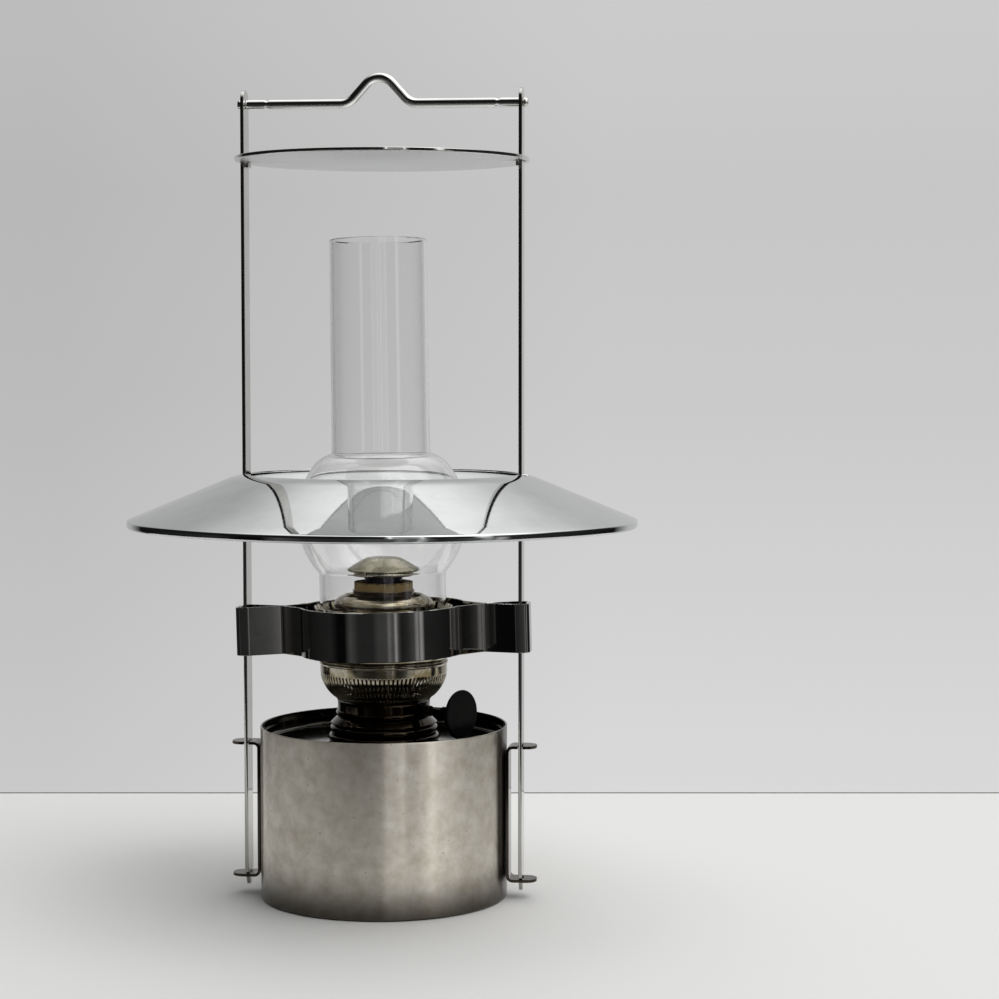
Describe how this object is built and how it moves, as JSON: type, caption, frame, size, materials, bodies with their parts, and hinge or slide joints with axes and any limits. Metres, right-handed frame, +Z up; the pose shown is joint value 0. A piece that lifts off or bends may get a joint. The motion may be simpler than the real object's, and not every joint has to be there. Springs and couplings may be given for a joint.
{
  "type": "ship lamp",
  "caption": "Table and hanging oil lamp with a round-wick burner, glass chimney, mirror shade and smoke disc between two hooked uprights.",
  "frame": {"origin": "centre of the tank's flat underside", "axes": "+Z up, +X towards the right upright, -Y is the front"},
  "size_m": [0.2606, 0.2605, 0.4217],
  "materials": {
    "steel": "brushed, slightly aged",
    "bright_steel": "polished",
    "shade_mirror": "mirror polish",
    "nickel": "nickel plated, aged",
    "wick": "woven cotton",
    "knob": "matt black",
    "glass": "clear"
  },
  "bodies": {
    "lamp": {"tank_shell": "steel", "tank_top": "steel", "tank_collar": "nickel", "bracket_left": "steel", "bracket_right": "steel", "upright_left": "steel", "upright_right": "steel", "burner_base": "nickel", "burner_body": "nickel", "air_basket": "nickel", "gallery": "nickel", "deflector": "nickel", "outer_wick_tube": "nickel", "inner_air_tube": "nickel", "spindle_bush": "nickel"},
    "hanger": {"hanger_tube": "steel", "hanger_pin_left": "bright_steel", "hanger_pin_right": "bright_steel"},
    "smoke_cover": {"smoke_disc": "steel"},
    "lamp_shade": {"shade": "shade_mirror"},
    "guard_band": {"band_front": "steel", "band_rear": "steel"},
    "glass_chimney": {"chimney": "glass"},
    "winder": {"winder_spindle": "nickel", "spindle_pinion": "nickel", "winder_knob": "knob"},
    "wick_set": {"wick": "wick", "wick_carrier": "nickel"},
    "flame_spreader": {"flame_disc": "nickel", "flame_disc_stem": "nickel"}
  },
  "joints": [
    {"name": "hanger_turn", "type": "hinge", "parent": "lamp", "child": "hanger", "pos_m": [0, 0, 0.4061], "axis": [1, 0, 0], "range_deg": [-180, 180]},
    {"name": "smoke_disc_lift", "type": "slide", "parent": "lamp", "child": "smoke_cover", "axis": [0, 0, 1], "range_m": [0, 0.012]},
    {"name": "shade_lift", "type": "slide", "parent": "lamp", "child": "lamp_shade", "axis": [0, 0, 1], "range_m": [0, 0.15]},
    {"name": "band_slide", "type": "slide", "parent": "lamp", "child": "guard_band", "axis": [0, 0, 1], "range_m": [-0.012, 0.02]},
    {"name": "chimney_lift", "type": "slide", "parent": "lamp", "child": "glass_chimney", "axis": [0, 0, 1], "range_m": [0, 0.03]},
    {"name": "winder_turn", "type": "hinge", "parent": "lamp", "child": "winder", "pos_m": [0, 0, 0.0982], "axis": [-0.8572, 0.515, 0], "range_deg": [-111, 41]},
    {"name": "wick_rise", "type": "slide", "parent": "lamp", "child": "wick_set", "axis": [0, 0, 1], "range_m": [-0.007, 0.0026]},
    {"name": "flame_spreader_lift", "type": "slide", "parent": "lamp", "child": "flame_spreader", "axis": [0, 0, 1], "range_m": [0, 0.03]}
  ],
  "couplings": [
    {"joint": "wick_rise", "follows": "winder_turn", "m_per_rad": 0.0036}
  ]
}
